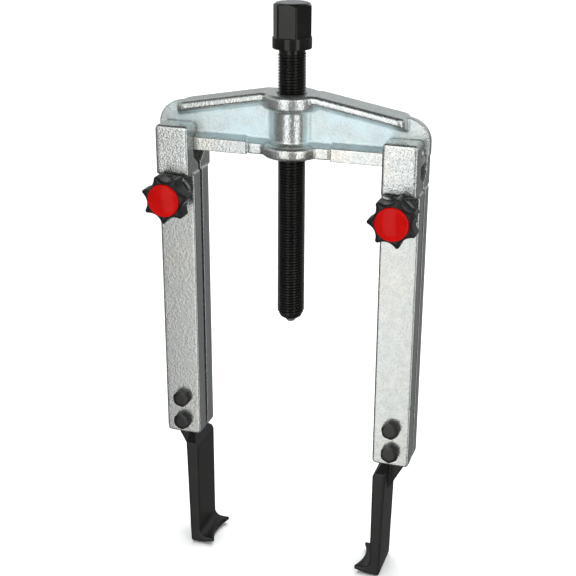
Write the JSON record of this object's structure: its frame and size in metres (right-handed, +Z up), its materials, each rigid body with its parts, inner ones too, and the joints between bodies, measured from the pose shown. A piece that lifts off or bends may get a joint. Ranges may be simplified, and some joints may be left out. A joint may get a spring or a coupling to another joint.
{
  "type": "gear puller",
  "caption": "Gear puller with sliding arms on a crossbeam, slim clawed hooks, a forcing spindle with a hex head, and star-knob clamps.",
  "frame": {"origin": "where the spindle's axis crosses the plane of the crossbeam's flat underside", "axes": "+Z up along the spindle towards its hex head, X along the crossbeam, the knobs face -Y"},
  "size_m": [0.1412, 0.0449, 0.3051],
  "materials": {
    "zinc": "bright zinc plate over a fine forged grain",
    "black_oxide": "black oxide with a light oil film",
    "bolt_black": "black oxide",
    "bright_steel": "ground steel",
    "knob_black": "moulded, satin",
    "cap_red": "moulded, glossy"
  },
  "bodies": {
    "crossbeam": {"crossbeam": "zinc"},
    "tip": {"spindle_tip": "bright_steel"},
    "spindle": {"spindle": "black_oxide"},
    "left_arm": {"left_front_cheek": "zinc", "left_rear_cheek": "zinc", "left_hook": "black_oxide", "left_hook_bolts": "bolt_black"},
    "left_washer": {"left_clamp_washer": "bright_steel"},
    "left_knob": {"left_clamp_screw": "bright_steel", "left_knob_body": "knob_black", "left_knob_cap": "cap_red"},
    "right_arm": {"right_front_cheek": "zinc", "right_rear_cheek": "zinc", "right_hook": "black_oxide", "right_hook_bolts": "bolt_black"},
    "right_washer": {"right_clamp_washer": "bright_steel"},
    "right_knob": {"right_clamp_screw": "bright_steel", "right_knob_body": "knob_black", "right_knob_cap": "cap_red"}
  },
  "joints": [
    {"name": "spindle_feed", "type": "slide", "parent": "crossbeam", "child": "tip", "axis": [0, 0, 1], "range_m": [-0.021, 0.09]},
    {"name": "spindle_turn", "type": "hinge", "parent": "tip", "child": "spindle", "pos_m": [0, 0, 0], "axis": [0, 0, 1], "range_deg": [-5041, 21601]},
    {"name": "left_arm_slide", "type": "slide", "parent": "crossbeam", "child": "left_arm", "axis": [1, 0, 0], "range_m": [-0.0027, 0.0267]},
    {"name": "left_clamp_feed", "type": "slide", "parent": "left_arm", "child": "left_washer", "axis": [0, -1, 0], "range_m": [0, 0.0025]},
    {"name": "left_knob_turn", "type": "hinge", "parent": "left_washer", "child": "left_knob", "pos_m": [-0.0587, 0, -0.022], "axis": [0, -1, 0], "range_deg": [0, 720.5]},
    {"name": "right_arm_slide", "type": "slide", "parent": "crossbeam", "child": "right_arm", "axis": [-1, 0, 0], "range_m": [-0.0027, 0.0267]},
    {"name": "right_clamp_feed", "type": "slide", "parent": "right_arm", "child": "right_washer", "axis": [0, -1, 0], "range_m": [0, 0.0025]},
    {"name": "right_knob_turn", "type": "hinge", "parent": "right_washer", "child": "right_knob", "pos_m": [0.0587, 0, -0.022], "axis": [0, -1, 0], "range_deg": [0, 720.5]}
  ],
  "couplings": [
    {"joint": "spindle_turn", "follows": "spindle_feed", "rad_per_m": 4188.8},
    {"joint": "left_knob_turn", "follows": "left_clamp_feed", "rad_per_m": 5026.5},
    {"joint": "right_knob_turn", "follows": "right_clamp_feed", "rad_per_m": 5026.5}
  ]
}
